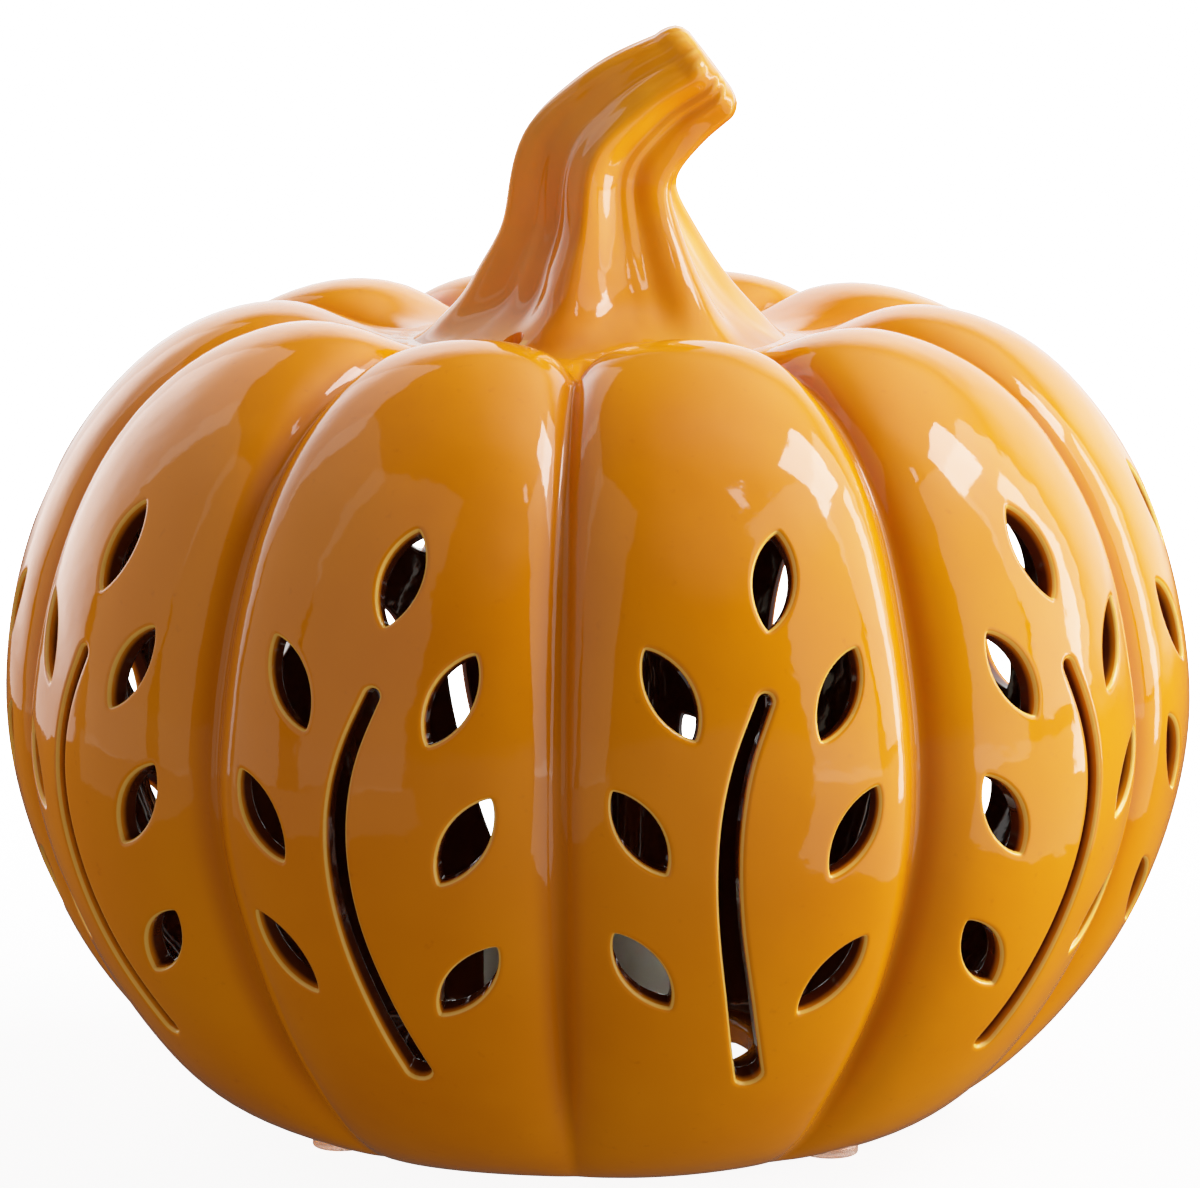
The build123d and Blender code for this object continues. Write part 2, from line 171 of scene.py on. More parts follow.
# the grooves fade out towards the stem and, more slowly, under the belly
CREASE_AT = np.where(fine[:, 1] > EQUATOR_Z, smooth((fine[:, 0] - SEAT_R) / 18.0),
                     smooth((fine[:, 0] - 50.0) / 42.0))


def line_at(s):
    """Radius, height, outward direction and groove share at arc length s."""
    values = [np.interp(s, ARC, column) for column in
              (fine[:, 0], fine[:, 1], slope[:, 1], -slope[:, 0], CREASE_AT)]
    norm = np.hypot(values[2], values[3])
    return values[0], values[1], values[2] / norm, values[3] / norm, values[4]


def crease(u):
    """0 at the middle of a lobe, 1 in the groove, with the groove's bottom rounded."""
    w = SOFT_CREASE
    u = np.abs(u)
    u = np.where(u > 1, 2 - u, u)
    edge = 1 - w

    def fall(x):
        return (1 - STEEP) * x * x + STEEP * x ** STEEP_POWER

    grade = 2 * (1 - STEEP) * edge + STEEP * STEEP_POWER * edge ** (STEEP_POWER - 1)
    over = np.maximum(u - edge, 0.0)
    soft = fall(edge) + grade * (over - over ** 2 / (2 * w))
    return np.where(u > edge, soft, fall(u)) / (fall(edge) + grade * w / 2)


def wall_point(angle, u, s, depth):
    """Points of the wall, mm: angle is the lobe's middle, u -1 to 1 across it, depth goes in from the glaze."""
    r, z, nr, nz, share = line_at(s)
    down = depth + GROOVE * share * crease(u)
    r, z = r - nr * down, z - nz * down
    a = angle + u * HALF
    return np.stack([r * np.sin(a), -r * np.cos(a), z], -1)


WAVE_LENGTHS = (26, 70)
WAVE_SIZES = (0.04, 0.10)
WAVES = []
for _ in range(14):
    direction = rng.normal(size=3)
    direction /= np.linalg.norm(direction)
    wave_number = direction * 2 * math.pi / rng.uniform(*WAVE_LENGTHS)
    WAVES.append((wave_number, rng.uniform(0, 2 * math.pi), rng.uniform(*WAVE_SIZES)))


def waver(p):
    """Hand-made unevenness: how far the surface stands out at p, mm, and its slope."""
    out, grad = np.zeros(len(p)), np.zeros_like(p)
    for k, phase, size in WAVES:
        a = p @ k + phase
        out += size * np.sin(a)
        grad += (size * np.cos(a))[:, None] * k
    return out, grad


# ------------------------------------------------------------------ cut-outs
def s_at_height(u, z):
    """How far along the lobe's side a height is, at u across the lobe."""
    _, z0, _, nz, share = line_at(ARC)
    z_here = z0 - nz * GROOVE * share * crease(u)
    foot, top = chord[UNDER_STEPS], chord[UNDER_STEPS + 2 * SIDE_STEPS]
    body = (ARC > foot) & (z0 < CROWN_Z + 1) & (ARC < top)
    return float(np.interp(z, z_here[body], ARC[body]))


def leaf_outline(u0, z, lean, scale=1.0, count=44):
    """A pointed leaf: (across, along) in mm round its middle, and where its middle is."""
    t = 2 * math.pi * (np.arange(count) + 0.5) / count
    y = np.sin(t) * 0.5 * LEAF_LENGTH * scale
    x = np.sign(np.cos(t)) * np.abs(np.cos(t)) ** LEAF_POINT * 0.5 * LEAF_WIDTH * scale
    c, s = math.cos(math.radians(lean)), math.sin(math.radians(lean))
    return x * c + y * s, -x * s + y * c, u0, s_at_height(u0, z * BODY_R)


def slit_outline(flip, shift, scale, count=46):
    """The long curved cut, wider and blunter at its foot."""
    rows = np.array([(flip * u, s_at_height(u, z * BODY_R), w) for u, z, w in SLIT])
    middle = s_at_height(0.0, SLIT_MIDDLE * BODY_R)
    r = line_at(rows[:, 1])[0]
    pts = np.stack([rows[:, 0] * r * HALF, rows[:, 1] - middle], 1)
    t = along(pts)
    curve = Spline(t, pts, (pts[1] - pts[0]) / t[1], (pts[-1] - pts[-2]) / (t[-1] - t[-2]))
    q = np.linspace(0, t[-1], count)
    c = curve(q)
    d = np.gradient(c, axis=0)
    d /= np.linalg.norm(d, axis=1)[:, None]
    side = np.stack([-d[:, 1], d[:, 0]], 1)
    w = np.interp(q, t, rows[:, 2])[:, None] / 2 * scale
    cap = np.linspace(0, math.pi, 9)[1:-1]
    end = [c[-1] + w[-1] * (side[-1] * math.cos(a) + 0.85 * d[-1] * math.sin(a)) for a in cap]
    start = [c[0] + w[0] * (-side[0] * math.cos(a) - d[0] * math.sin(a)) for a in cap]
    loop = np.concatenate([c + side * w, end, (c - side * w)[::-1], start])
    return loop[:, 0], loop[:, 1], 0.0, middle + shift


def outward_of(x, y):
    """The loop anticlockwise, with its outward direction at each point."""
    if np.sum(x * np.roll(y, -1) - np.roll(x, -1) * y) < 0:
        x, y = x[::-1], y[::-1]
    dx = np.roll(x, -1) - np.roll(x, 1)
    dy = np.roll(y, -1) - np.roll(y, 1)
    n = np.hypot(dx, dy)
    return x, y, dy / n, -dx / n


def holes_of(k):
    """Each cut-out of lobe k as (x, y, mx, my, u0, s0)."""
    flip = -1 if k in MIRRORED_LOBES else 1
    free = FRONT_FREEDOM if k in FRONT_LOBES else BACK_FREEDOM
    slide = SLID.get(k, 0.0)
    holes = []

    def stray(reach):
        return free * rng.uniform(-reach, reach)

    across, up, turn, size = LEAF_STRAY
    for u, z, lean in LEAVES:
        u = flip * u + slide + stray(across)
        z = z + stray(up)
        lean = flip * lean + stray(turn)
        x, y, u0, s0 = leaf_outline(u, z, lean, 1 + stray(size))
        holes.append(outward_of(x, y) + (u0, s0))
    x, y, u0, s0 = slit_outline(flip, stray(SLIT_STRAY[0]), 1 + stray(SLIT_STRAY[1]))
    holes.append(outward_of(x, y) + (u0 + slide, s0))
    return holes


def ring_profile():
    """The rings round a cut: (offset from its wall, depth, turn of the normal, cream rim that is partly glaze
    break and partly painted highlight, painted shade of the unlit inside).
    """
    a, b = ROUND_OUT, ROUND_IN
    rows = [(a + 0.5, 0.0, 0, 0.0, 0.0), (a + 0.1, 0.0, 4, 0.0, 0.0)]
    for turn, rim, dark in ((22, 0.15, 0.0), (45, 1.0, 0.0), (68, 1.0, 0.05), (90, 0.1, 0.2)):
        t = math.radians(turn)
        rows.append((a * (1 - math.sin(t)), a * (1 - math.cos(t)), turn, rim, dark))
    rows.append((0.0, a + AMBER_DEPTH_BEFORE_SHADE, 90, 0.0, 0.85))
    rows.append((0.0, WALL - b, 90, 0.0, 1.0))
    for turn in (135, 180):
        t = math.radians(turn - 90)
        rows.append((b * (1 - math.cos(t)), WALL - b + b * math.sin(t), turn, 0.0, 1.0))
    return rows


RINGS = ring_profile()


def in_loop(px, py, lx, ly):
    """Which points are inside a closed loop."""
    inside = np.zeros(len(px), bool)
    for x0, y0, x1, y1 in zip(lx, ly, np.roll(lx, -1), np.roll(ly, -1)):
        cross = (y0 > py) != (y1 > py)
        if cross.any():
            at = (x1 - x0) * (py - y0) / (y1 - y0 + 1e-30) + x0
            inside ^= cross & (px < at)
    return inside


# half a lobe's width, mm, near enough to mesh in
SPAN = 33.0
# the grid is finer towards the grooves
STEEP_COLUMNS = [0.80, 0.85, 0.895, 0.925, 0.948, 0.966, 0.983, 1]
COLUMNS = np.array([-u for u in reversed(STEEP_COLUMNS)] + list(np.linspace(-0.74, 0.74, 21)) + STEEP_COLUMNS)
ROWS = np.linspace(0, LENGTH, 92)
IN_COLUMNS = COLUMNS[::2]
IN_ROWS = np.concatenate([ROWS[:-1:2], ROWS[-1:]])
OUT_GAP, IN_GAP = 0.9, 1.6    # how near a cut's edge a grid point may be


def sheet(columns, rows, ends, loops, gap):
    """Triangles of a lobe's rectangle with loops cut out. Points are (u, s); the loops' points come last."""
    uu, ss = np.meshgrid(columns, rows[1:-1])
    uu, ss = uu.ravel(), ss.ravel()
    keep = np.ones(len(uu), bool)
    # leave out the grid points inside a loop or too near its edge
    for lu, ls in loops:
        lx = lu * SPAN
        near = (np.abs(uu * SPAN - lx.mean()) < 40) & (ss > ls.min() - 6) & (ss < ls.max() + 6)
        ix = np.flatnonzero(near & keep & (np.abs(uu) < 0.999))
        d = np.hypot(uu[ix, None] * SPAN - lx[None], ss[ix, None] - ls[None]).min(1)
        bad = in_loop(uu[ix] * SPAN, ss[ix], lx, ls) | (d < gap)
        keep[ix[bad]] = False
    u = np.concatenate([ends, uu[keep], ends])
    s = np.concatenate([np.full(len(ends), rows[0]), ss[keep], np.full(len(ends), rows[-1])])
    edges, first = [], len(u)
    for lu, ls in loops:
        n = len(lu)
        edges += [(first + i, first + (i + 1) % n) for i in range(n)]
        u, s, first = np.concatenate([u, lu]), np.concatenate([s, ls]), first + n
    coords = [Vector((float(a), float(b))) for a, b in zip(u * SPAN, s)]
    out, _, faces, source, _, _ = delaunay_2d_cdt(coords, edges, [], 0, 1e-7, True)
    assert len(out) == len(coords)
    back = np.array([ids[0] for ids in source])
    tri = back[np.array(faces)]
    cu, cs = u[tri].mean(1) * SPAN, s[tri].mean(1)
    gone = np.zeros(len(tri), bool)
    for lu, ls in loops:
        gone |= in_loop(cu, cs, lu * SPAN, ls)
    x, y = u[tri] * SPAN, s[tri]
    area = (x[:, 1] - x[:, 0]) * (y[:, 2] - y[:, 0]) - (x[:, 2] - x[:, 0]) * (y[:, 1] - y[:, 0])
    tri = tri[~gone & (np.abs(area) > 1e-6)]
    area = area[~gone & (np.abs(area) > 1e-6)]
    tri[area < 0] = tri[area < 0][:, ::-1]
    return u, s, tri


def shell_sheets():
    """All ten lobes as one wall, open at its two ends: the points' values by name, and the triangles."""
    cols = {name: [] for name in ("lobe", "u", "s", "depth", "turn", "mx", "my", "rim", "inside")}
    faces, seam_of, count = [], {}, 0
    for k in range(LOBES):
        holes = holes_of(k)
        part = {name: [] for name in cols}
        tris = []

        def put(u, s, depth, turn, mx=0.0, my=0.0, rim=0.0, inside=0.0):
            """Add points, and say where they start."""
            start = sum(len(a) for a in part["u"])
            for name, value in (("u", u), ("s", s), ("depth", depth), ("turn", turn), ("mx", mx), ("my", my),
                                ("rim", rim), ("inside", inside)):
                part[name].append(np.broadcast_to(np.asarray(value, float), u.shape).copy())
            part["lobe"].append(np.full(u.shape, float(k)))
            return start

        def place(hole, offset):
            """A cut's loop, this far outside its wall, as (u, s)."""
            x, y, mx, my, u0, s0 = hole
            x, y = x + mx * offset, y + my * offset
            s = s0 + y
            return u0 + x / (line_at(s)[0] * HALF), s

        out_loops = [place(h, RINGS[0][0]) for h in holes]
        in_loops = [place(h, RINGS[-1][0]) for h in holes]
        # the inner face takes the painted shade of the unlit inside in full
        for loops, columns, rows, depth, turn, dark, gap in (
                (out_loops, COLUMNS, ROWS, 0.0, 0, 0.0, OUT_GAP),
                (in_loops, IN_COLUMNS, IN_ROWS, WALL, 180, 1.0, IN_GAP)):
            u, s, tri = sheet(columns, rows, COLUMNS, loops, gap)
            start = put(u, s, depth, turn, inside=dark)
            tris.append((tri if turn == 0 else tri[:, ::-1]) + start)
            at = len(u) - sum(len(lu) for lu, _ in loops)
            if turn == 0:
                out_first = start + at
            else:
                in_first = start + at
        for hole in holes:
            n = len(hole[0])
            previous = out_first + np.arange(n)
            for i, (offset, depth, turn, rim, dark) in enumerate(RINGS[1:], 1):
                if i == len(RINGS) - 1:
                    ring = in_first + np.arange(n)
                else:
                    u, s = place(hole, offset)
                    ring = put(u, s, depth, turn, hole[2], hole[3], rim, dark) + np.arange(n)
                a, b, c, d = previous, np.roll(previous, -1), np.roll(ring, -1), ring
                tris += [np.stack([a, b, c], 1), np.stack([a, c, d], 1)]
                previous = ring
            out_first, in_first = out_first + n, in_first + n
        part = {name: np.concatenate(values) for name, values in part.items()}
        # points on a groove are shared with the next lobe
        index = np.arange(len(part["u"])) + count
        edge = np.flatnonzero(np.abs(part["u"]) > 0.9999)
        fresh = np.ones(len(part["u"]), bool)
        keys = {i: (round(part["s"][i], 3), part["depth"][i] > 0, (k + (part["u"][i] > 0)) % LOBES)
                for i in edge}
        for i in edge:
            if keys[i] in seam_of:
                index[i], fresh[i] = seam_of[keys[i]], False
        index[fresh] = count + np.arange(fresh.sum())
        for i in edge[fresh[edge]]:
            seam_of[keys[i]] = index[i]
        for name in cols:
            cols[name].append(part[name][fresh])
        count += fresh.sum()
        faces += [index[t] for t in tris]
    return {name: np.concatenate(values) for name, values in cols.items()}, np.concatenate(faces)


def surface_of(v):
    """Where the wall's points are, mm, which way each faces, and how deep in a groove it is, 0 to 1."""
    # lobe 2 is the front right one, whose middle is half a sector towards +X
    angle = (v["lobe"] - 2) * 2 * HALF + HALF
    p = wall_point(angle, v["u"], v["s"], v["depth"])
    e = 0.02    # a small step to either side, mm
    across = (wall_point(angle, v["u"] + e / SPAN, v["s"], v["depth"])
              - wall_point(angle, v["u"] - e / SPAN, v["s"], v["depth"]))
    up = (wall_point(angle, v["u"], np.minimum(v["s"] + e, LENGTH), v["depth"])
          - wall_point(angle, v["u"], np.maximum(v["s"] - e, 0), v["depth"]))
    across /= np.linalg.norm(across, axis=1)[:, None]
    up /= np.linalg.norm(up, axis=1)[:, None]
    normal = np.cross(across, up)
    normal /= np.linalg.norm(normal, axis=1)[:, None]
    # the unevenness dies out towards both ends
    far, grad = waver(p)
    calm = smooth((v["s"] - 4) / 12) * smooth((LENGTH - 4 - v["s"]) / 12)
    p = p + normal * (far * calm)[:, None]
    grad = grad * calm[:, None]
    slant = grad - np.sum(grad * normal, 1)[:, None] * normal
    surface = normal - slant
    surface /= np.linalg.norm(surface, axis=1)[:, None]
    turn = np.radians(v["turn"])[:, None]
    away = v["mx"][:, None] * across + v["my"][:, None] * up
    n = np.cos(turn) * surface - np.sin(turn) * away
    n /= np.linalg.norm(n, axis=1)[:, None]
    share = line_at(v["s"])[4]
    dip = smooth((np.abs(v["u"]) - 0.72) / 0.28) * share * (v["turn"] < 90)
    return p, n, dip


def lips(p, n, faces, v):
    """Close the wall at the base opening and under the stem, with rounded lips from outer to inner face."""
    profiles = []
    for end, out_z, hole, sign in ((0.0, BASE_Z, BASE_HOLE_R, -1), (LENGTH, SEAT_Z, TOP_HOLE_R, 1)):
        deep = out_z - sign * WALL
        rows = []
        for a in (0, 30, 60, 90):
            t = math.radians(a)
            rows.append((hole + LIP_OUT * (1 - math.sin(t)), out_z - sign * LIP_OUT * (1 - math.cos(t)),
                         -math.sin(t), sign * math.cos(t)))
        for a in (0, 45, 90):
            t = math.radians(a)
            rows.append((hole + LIP_IN * (1 - math.cos(t)), deep + sign * LIP_IN * (1 - math.sin(t)),
                         -math.cos(t), -sign * math.sin(t)))
        profiles.append((end, rows, sign))
    angle = np.arctan2(p[:, 0], -p[:, 1])
    new_p, new_n, new_f, first = [], [], [], len(p)
    for end, rows, sign in profiles:
        sides = []
        for deep in (False, True):
            ring = np.flatnonzero((np.abs(v["s"] - end) < 1e-6) & ((v["depth"] > 0) == deep))
            sides.append(ring[np.argsort(angle[ring])])
        outer, inner = sides
        assert len(outer) == len(inner)
        a = angle[outer]
        previous = outer
        for r, z, nr, nz in rows:
            ring = first + np.arange(len(a))
            new_p.append(np.stack([r * np.sin(a), -r * np.cos(a), np.full(len(a), z)], 1))
            new_n.append(np.stack([nr * np.sin(a), -nr * np.cos(a), np.full(len(a), nz)], 1))
            first += len(a)
            new_f.append((previous, ring, sign))
            previous = ring
        new_f.append((previous, inner, sign))
    tri = [faces]
    for one, two, sign in new_f:
        a, b, c, d = one, np.roll(one, -1), np.roll(two, -1), two
        quads = [np.stack([a, b, c], 1), np.stack([a, c, d], 1)]
        tri += [q if sign > 0 else q[:, ::-1] for q in quads]
    extra = first - len(p)
    return np.concatenate([p] + new_p), np.concatenate([n] + new_n), np.concatenate(tri), extra


def make_object(name, p, faces, normals=None, values=None):
    """A mesh object from points in mm and triangles."""
    mesh = bpy.data.meshes.new(name)
    mesh.vertices.add(len(p))
    mesh.vertices.foreach_set("co", (np.asarray(p) * 0.001).astype(np.float32).ravel())
    mesh.loops.add(faces.size)
    mesh.loops.foreach_set("vertex_index", faces.astype(np.int32).ravel())
    mesh.polygons.add(len(faces))
    mesh.polygons.foreach_set("loop_start", np.arange(0, faces.size, 3, dtype=np.int32))
    mesh.polygons.foreach_set("use_smooth", np.ones(len(faces), bool))
    mesh.update(calc_edges=True)
    for label, value in (values or {}).items():
        mesh.attributes.new(label, "FLOAT", "POINT").data.foreach_set("value", value.astype(np.float32))
    if normals is not None:
        mesh.normals_split_custom_set_from_vertices(normals.astype(np.float32))
    mesh.validate()
    obj = bpy.data.objects.new(name, mesh)
    bpy.context.scene.collection.objects.link(obj)
    return obj


v, faces = shell_sheets()
p, n, dip = surface_of(v)
p, n, faces, extra = lips(p, n, faces, v)
none = np.zeros(extra)
values = {"rim": np.concatenate([v["rim"], none]), "inside": np.concatenate([v["inside"], none + LIP_PAINTED_SHADE]),
          "dip": np.concatenate([dip, none])}
shell = make_object("pumpkin_glaze", p, faces, n, values)
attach(shell, "pumpkin")
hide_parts("pumpkin_shell")

# ------------------------------------------------------------------ stem
STEM_TURN = math.radians(3.5)
# x, height, tilt, ridge radius, flute share, twist; heights for a seat at STEM_DRAWN_AT
STEM_DRAWN_AT = 139.0
STEM = np.array([
    (0.8, 136.6, 0, 37.0, .000, 11), (0.8, 138.1, 0, 34.6, .008, 11), (0.8, 139.3, 0, 32.5, .02, 11),
    (0.85, 140.9, 0, 30.6, .04, 12), (0.9, 143.0, 0, 28.6, .06, 13), (0.9, 146.0, 0, 25.9, .08, 15),
    (0.4, 152.2, 0, 21.7, .09, 18), (0.1, 159.2, 0, 17.9, .10, 22), (-0.5, 165.6, 4, 16.2, .10, 26),
    (1.1, 171.7, 16, 15.6, .10, 26), (5.5, 176.8, 26, 14.3, .10, 26), (11.3, 181.5, 37, 12.6, .095, 26),
    (16.9, 184.7, 47, 10.9, .07, 26)])
STEM[:, 1] += SEAT_Z - STEM_DRAWN_AT
# the lumpy cut end: (how far past the last section, share of its radius)
STEM_CAP = [(1.1, 0.985), (2.2, 0.94), (3.2, 0.87), (3.9, 0.76),
            (4.3, 0.62), (4.3, 0.45), (4.1, 0.27), (3.9, 0.10)]
STEM_HEIGHT = 45.0
FLUTES, FLUTE_SHARPNESS = 6, 1.7
FIBRE_COUNTS = (3, 5, 9, 13, 17, 23, 31)
# a second, thin ridge beside the front one
THIN_RIDGE_AT, THIN_RIDGE_WIDTH, THIN_RIDGE_HEIGHT = math.radians(238), 0.10, 0.55
# rows of points up to this section, where the foot flares, and the rest
SKIRT_ROWS, SKIRT_SECTIONS = 15, 4
# a small round hole in the foot: its middle, radius and height range
VENT = (-13.0, -25.5)
VENT_R = 2.2
VENT_LOW, VENT_HIGH = 137.6, 152.0


def stem_mesh(columns=168, rows=84):
    """The fluted, bent stem as one closed mesh, mm."""
    t = along(STEM[:, :2])
    ends = [(STEM[1] - STEM[0]) / (t[1] - t[0]), (STEM[-1] - STEM[-2]) / (t[-1] - t[-2])]
    curve = Spline(t, STEM, ends[0], ends[1])
    skirt = t[SKIRT_SECTIONS]
    q = np.concatenate([np.linspace(0, skirt, SKIRT_ROWS + 1)[:-1],
                        np.linspace(skirt, t[-1], rows - SKIRT_ROWS)])
    sections = curve(q)
    last = sections[-1]
    tilt = math.radians(last[2])
    cap = []
    for out, share in STEM_CAP:
        lean = last[2] + 4 * out / 3
        cap.append((last[0] + out * math.sin(tilt), last[1] + out * math.cos(tilt), lean, last[3] * share,
                    last[4] * share, last[5]))
    sections = np.vstack([sections, cap])
    a = np.linspace(0, 2 * math.pi, columns, endpoint=False)
    draw = np.random.default_rng(21)
    fibres = [(m, draw.uniform(0, 2 * math.pi), draw.uniform(0.5, 1.0)) for m in FIBRE_COUNTS]
    p = []
    for x, z, tilt, radius, share, twist in sections:
        tilt, turn = math.radians(tilt), math.radians(twist)
        height = (z - SEAT_Z) / STEM_HEIGHT
        ridge = ((1 + np.cos(FLUTES * (a - turn))) / 2) ** FLUTE_SHARPNESS
        r = radius * (1 - 2 * share * (1 - ridge))
        rough = sum(size * np.cos(m * (a - turn) + phase + 1.3 * height * (1 + m / 9)) / (1 + m / 7)
                    for m, phase, size in fibres)
        lumps = 0.30 + 0.22 * smooth((height - 0.8) / 0.2)
        r = r + lumps * rough * min(1.0, radius / 14) * smooth(height / 0.15)
        thin = np.exp(-((a - turn - THIN_RIDGE_AT) / THIN_RIDGE_WIDTH) ** 2)
        r = r + THIN_RIDGE_HEIGHT * thin * smooth(height / 0.1) * smooth((0.95 - height) / 0.25)
        c, s = math.cos(tilt), math.sin(tilt)
        p.append(np.stack([x + r * np.cos(a) * c, r * np.sin(a), z - r * np.cos(a) * s], 1))
    p = np.array(p).reshape(-1, 3)
    index = np.arange(len(p)).reshape(-1, columns)
    tri = []
    for one, two in zip(index[:-1], index[1:]):
        b, c = np.roll(one, -1), np.roll(two, -1)
        tri += [np.stack([one, b, c], 1), np.stack([one, c, two], 1)]
    top = len(p)
    end = p[index[-1]].mean(0)
    tri.append(np.stack([index[-1], np.roll(index[-1], -1), np.full(columns, top)], 1))
    bottom = top + 1
    tri.append(np.stack([np.roll(index[0], -1), index[0], np.full(columns, bottom)], 1))
    p = np.vstack([p, end, p[index[0]].mean(0)])
    c, s = math.cos(STEM_TURN), math.sin(STEM_TURN)
    p = np.stack([c * p[:, 0] - s * p[:, 1], s * p[:, 0] + c * p[:, 1], p[:, 2]], 1)
    return p, np.concatenate(tri)


p, faces = stem_mesh()
stem = make_object("stem_glaze", p, faces)
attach(stem, "pumpkin")
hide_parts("stem")


def drill(obj, x, y, low, high, radius, sides=40):
    """Cut an upright round hole in a closed mesh; millimetres."""
    a = np.linspace(0, 2 * math.pi, sides, endpoint=False)
    ring = np.stack([x + radius * np.cos(a), y + radius * np.sin(a)], 1)
    corners = [(px, py, z) for z in (low, high) for px, py in ring]
    walls = [(i, (i + 1) % sides, sides + (i + 1) % sides, sides + i) for i in range(sides)]
    ends = [tuple(range(sides))[::-1], tuple(range(sides, 2 * sides))]
    cutter_mesh = bpy.data.meshes.new("cutter")
    cutter_mesh.from_pydata([tuple(0.001 * c for c in q) for q in corners], [], walls + ends)
    cutter = bpy.data.objects.new("cutter", cutter_mesh)
    bpy.context.scene.collection.objects.link(cutter)
    change = obj.modifiers.new("drill", "BOOLEAN")
    change.operation, change.solver, change.object = "DIFFERENCE", "EXACT", cutter
    bpy.context.view_layer.update()
    cut = bpy.data.meshes.new_from_object(obj.evaluated_get(bpy.context.evaluated_depsgraph_get()))
    obj.modifiers.clear()
    obj.data = cut
    cut.set_sharp_from_angle(angle=math.radians(50))
    bpy.data.objects.remove(cutter)


drill(stem, *VENT, VENT_LOW, VENT_HIGH, VENT_R)


# ------------------------------------------------------------------ materials
# the glaze's colours, linear
GLAZE_CLOUDS = [(0.30, (0.70, 0.174, 0.0010)), (0.52, (0.76, 0.199, 0.0013)), (0.74, (0.80, 0.222, 0.0022))]
GLAZE_SPECK = (0.56, 0.13, 0.001)
# darker in the grooves between lobes: partly glaze pooled thicker there, partly painted shade
GROOVE_POOL_AND_SHADE = (0.42, 0.088, 0.001)
# painted shade: the colour of the unlit inside, on the inner face and the deep walls of the cuts
INSIDE_PAINTED_SHADE = (0.075, 0.014, 0.003)
# cream on the cut-outs' rims: partly glaze breaking thin over the edge, partly painted highlight
RIM_BREAK_AND_HIGHLIGHT = (0.98, 0.52, 0.09)
STEM_STREAKS = [(0.32, (0.62, 0.158, 0.002)), (0.50, (0.74, 0.205, 0.003)), (0.68, (0.82, 0.255, 0.006))]
# darker hollows of the stem: partly pooled glaze, partly painted shade
STEM_HOLLOW_POOL_AND_SHADE = (0.36, 0.085, 0.002)
# lighter ridges of the stem: partly glaze breaking thin, partly painted highlight
STEM_RIDGE_BREAK_AND_HIGHLIGHT = (0.86, 0.40, 0.06)
GLAZE_ROUGHNESS, GLAZE_IOR = 0.05, 1.52


def tree(name):
    """A new material with its nodes, its links and its main shader."""
    material = bpy.data.materials.new(name)
    material.use_nodes = True
    nodes = material.node_tree.nodes
    return material, nodes, material.node_tree.links, nodes["Principled BSDF"]


def noise(nodes, links, at, scale, detail=3.0, rough=0.5):
    """Cloudy noise at a place."""
    node = nodes.new("ShaderNodeTexNoise")
    node.inputs["Scale"].default_value = scale
    node.inputs["Detail"].default_value = detail
    node.inputs["Roughness"].default_value = rough
    links.new(at, node.inputs["Vector"])
    return node.outputs["Fac"]


def ramp(nodes, links, value, stops):
    """A value turned into a colour through (place, colour) stops."""
    node = nodes.new("ShaderNodeValToRGB")
    band = node.color_ramp
    while len(band.elements) < len(stops):
        band.elements.new(0.5)
    for element, (place, colour) in zip(band.elements, stops):
        element.position = place
        element.color = tuple(colour) + (1.0,)
    links.new(value, node.inputs["Fac"])
    return node.outputs["Color"]


def mix(nodes, links, share, one, two):
    """Colour one running into colour two; each is a socket or a constant."""
    node = nodes.new("ShaderNodeMix")
    node.data_type = "RGBA"
    for value, socket in ((share, node.inputs[0]), (one, node.inputs[6]), (two, node.inputs[7])):
        if isinstance(value, (tuple, list)):
            socket.default_value = tuple(value) + (1.0,)
        elif isinstance(value, float):
            socket.default_value = value
        else:
            links.new(value, socket)
    return node.outputs[2]


def level(nodes, links, value, a, b, to_a=0.0, to_b=1.0):
    """A value eased from one range to another."""
    node = nodes.new("ShaderNodeMapRange")
    node.interpolation_type = "SMOOTHSTEP"
    for socket, number in (("From Min", a), ("From Max", b), ("To Min", to_a), ("To Max", to_b)):
        node.inputs[socket].default_value = number
    links.new(value, node.inputs["Value"])
    return node.outputs["Result"]


def bump(nodes, links, height, strength, distance, bsdf, before=None):
    """A relief, on top of the one before it if there is one; the last one goes to the shader."""
    node = nodes.new("ShaderNodeBump")
    node.inputs["Strength"].default_value = strength
    node.inputs["Distance"].default_value = distance
    links.new(height, node.inputs["Height"])
    if before is not None:
        links.new(before, node.inputs["Normal"])
    if bsdf is not None:
        links.new(node.outputs["Normal"], bsdf.inputs["Normal"])
    return node.outputs["Normal"]


def read(nodes, label):
    """A value stored on the mesh's points."""
    node = nodes.new("ShaderNodeAttribute")
    node.attribute_name = label
    return node.outputs["Fac"]


def position(nodes):
    return nodes.new("ShaderNodeTexCoord").outputs["Object"]


